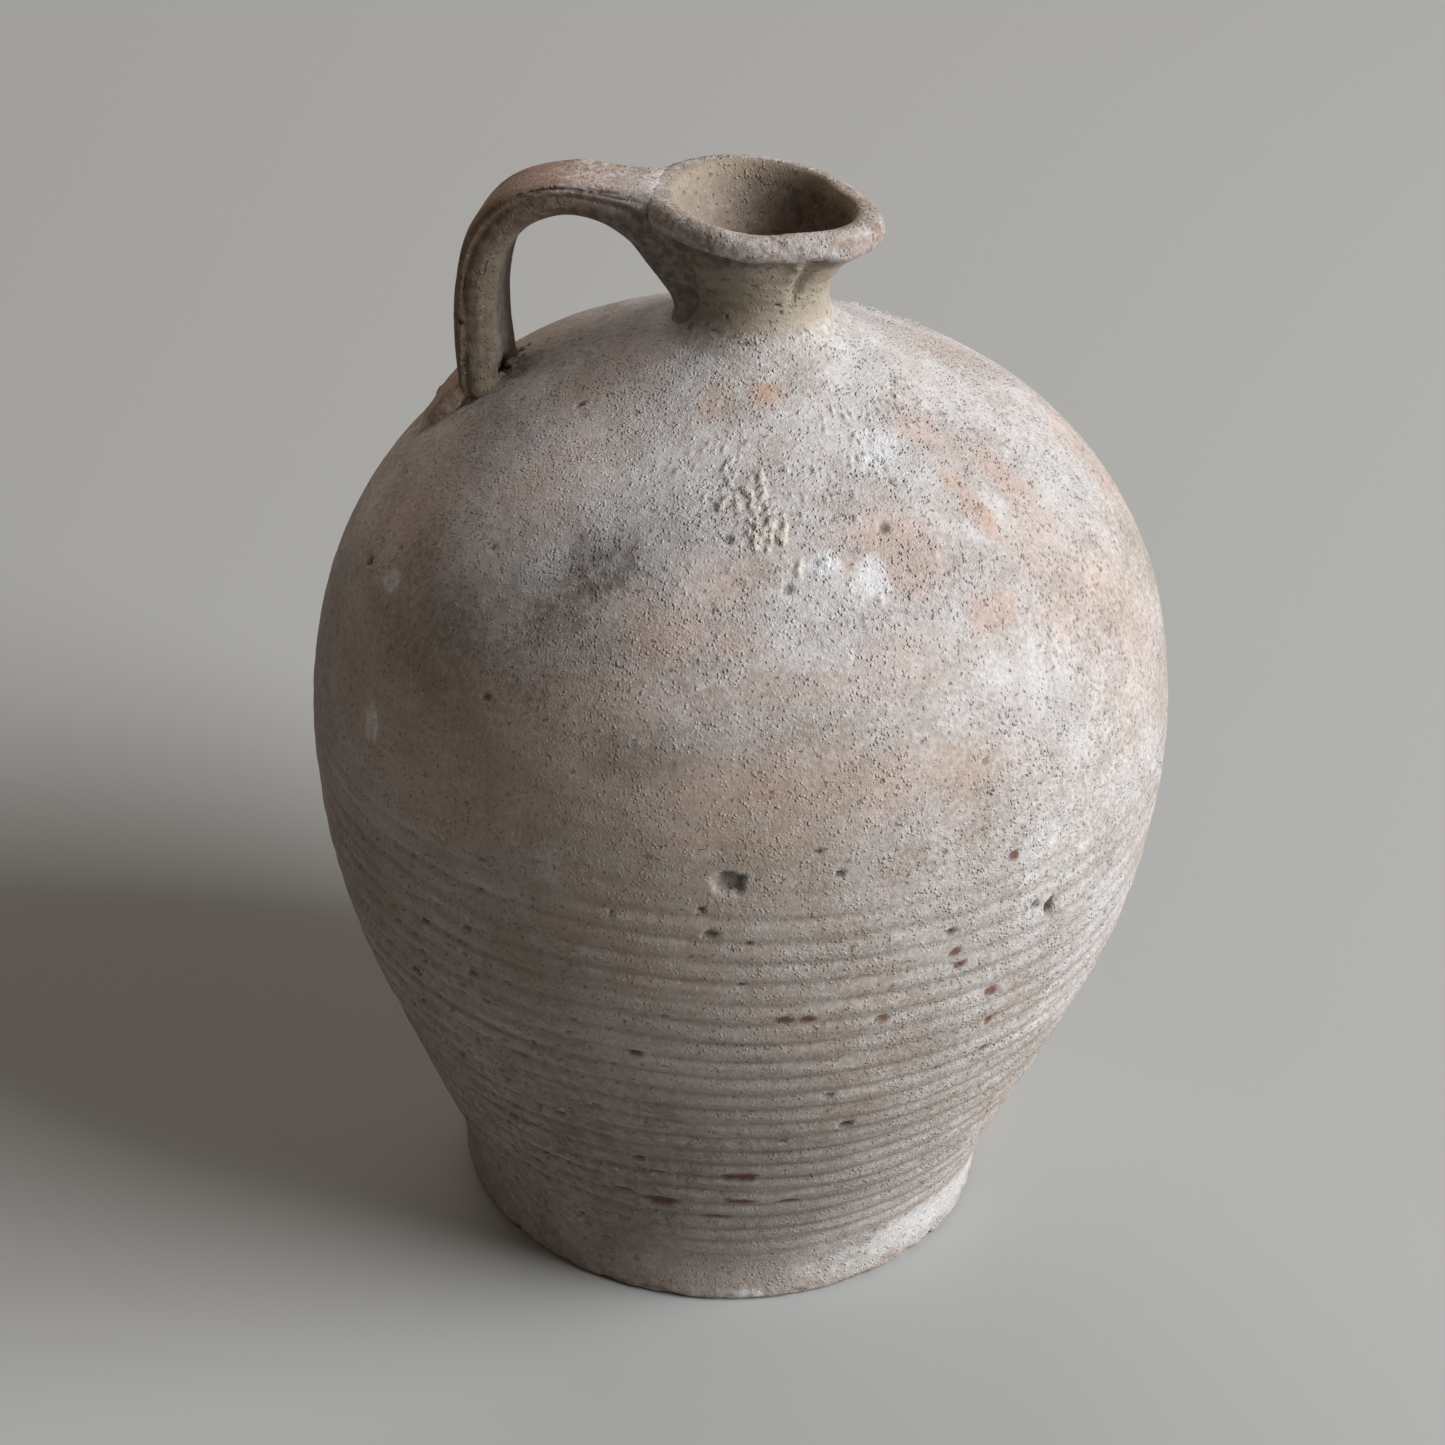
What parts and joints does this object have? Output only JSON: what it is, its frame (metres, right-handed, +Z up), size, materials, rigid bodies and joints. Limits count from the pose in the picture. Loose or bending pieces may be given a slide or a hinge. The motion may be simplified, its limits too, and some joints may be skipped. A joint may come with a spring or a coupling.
{
  "type": "stoneware jug",
  "caption": "Ovoid wheel-thrown stoneware jug with a flat foot, short narrow neck, rolled lip drawn into a pouring spout, and a strap handle from lip to shoulder.",
  "frame": {"origin": "centre of the flat foot, on the plane the jug stands on", "axes": "+Z up along the body's axis of turning; the handle is on -X; the pouring spout is near +X, turned 15 degrees towards -Y"},
  "size_m": [0.2611, 0.261, 0.337],
  "materials": {
    "body_clay": "unglazed stoneware, limy whitish patina over grey-buff clay, rough",
    "neck_clay": "unglazed stoneware, olive-buff with a paler worn lip",
    "handle_clay": "unglazed stoneware, toasted brown with an olive streak",
    "luting_clay": "unglazed stoneware, smeared slip, toasted brown"
  },
  "bodies": {
    "root": {"body": "body_clay", "neck_and_spout": "neck_clay", "handle": "handle_clay", "handle_foot_luting": "luting_clay"}
  },
  "joints": []
}
